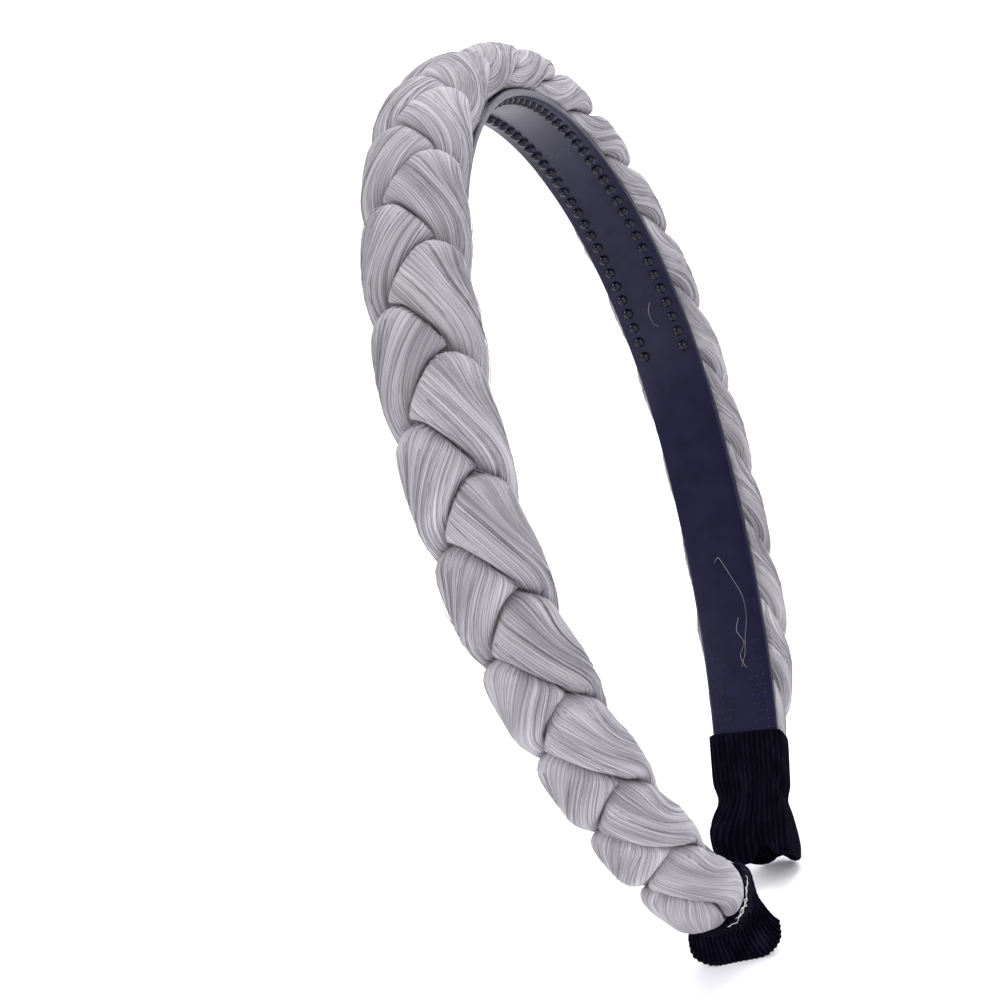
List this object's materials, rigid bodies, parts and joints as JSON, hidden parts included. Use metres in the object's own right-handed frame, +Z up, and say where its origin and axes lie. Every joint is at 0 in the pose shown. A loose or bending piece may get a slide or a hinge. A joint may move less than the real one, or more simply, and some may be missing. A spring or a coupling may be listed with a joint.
{
  "type": "braided headband",
  "caption": "Springy open hair band covered on its outside with a plait of synthetic grey hair, its ends in black ribbed sleeves.",
  "frame": {"origin": "on the floor, midway between the two feet", "axes": "+Z up through the crown, X from foot to foot, Y across the band"},
  "size_m": [0.1409, 0.0188, 0.1566],
  "materials": {
    "band_plastic": "satin black plastic, smooth, with moulded nubs on the inner face",
    "hair": "silver grey synthetic hair, straight fibres with a soft sheen",
    "knit": "black knitted rib, dull"
  },
  "bodies": {
    "root": {"band": "band_plastic", "strand_1": "hair", "strand_2": "hair", "strand_3": "hair", "sleeve_near": "knit", "sleeve_far": "knit"}
  },
  "joints": []
}
